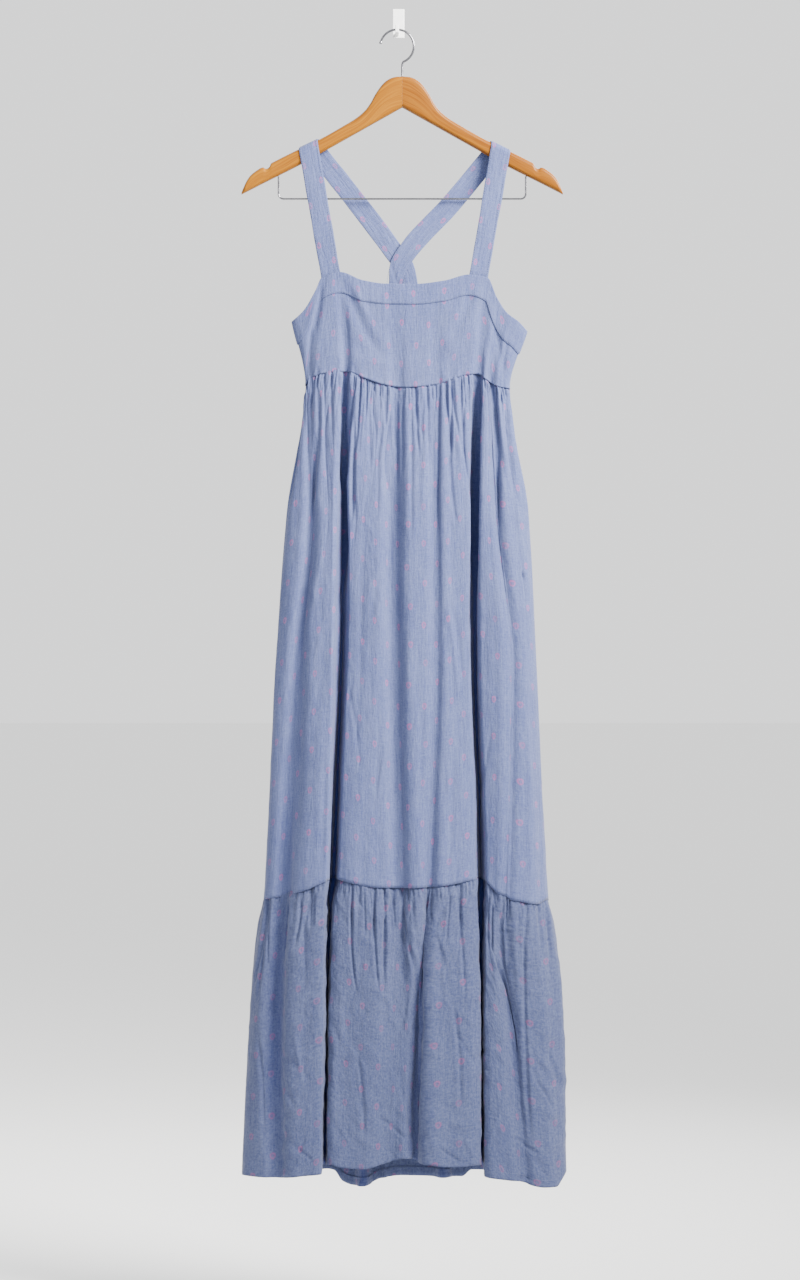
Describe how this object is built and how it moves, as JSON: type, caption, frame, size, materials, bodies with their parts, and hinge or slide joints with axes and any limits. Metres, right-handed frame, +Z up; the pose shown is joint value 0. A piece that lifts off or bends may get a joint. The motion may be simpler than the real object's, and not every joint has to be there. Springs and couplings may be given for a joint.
{
  "type": "maxi dress",
  "caption": "Sleeveless cotton maxi dress with an empire seam, gathered skirt and tier, and straps crossed at the back, hung on a wooden hanger from a wall hook.",
  "frame": {"origin": "middle of the wall hook's back face, which lies on the wall", "axes": "+Z up along the dress, +X to the right as the dress is looked at, +Y into the wall; the dress faces -Y"},
  "size_m": [0.4466, 0.1033, 1.6258],
  "materials": {
    "cotton": "matte woven cotton",
    "wood": "satin varnish",
    "steel": "bright plated wire",
    "plastic": "white, smooth"
  },
  "bodies": {
    "root": {"bodice_front": "cotton", "bodice_back": "cotton", "band_back": "cotton", "neck_band_front": "cotton", "armhole_band_left": "cotton", "armhole_band_right": "cotton", "skirt_front": "cotton", "skirt_back": "cotton", "tier_front": "cotton", "tier_back": "cotton", "strap_left": "cotton", "strap_right": "cotton", "hanger_arm_left": "wood", "hanger_arm_right": "wood", "hanger_hook": "steel", "trouser_bar": "steel", "wall_hook": "plastic"}
  },
  "joints": []
}
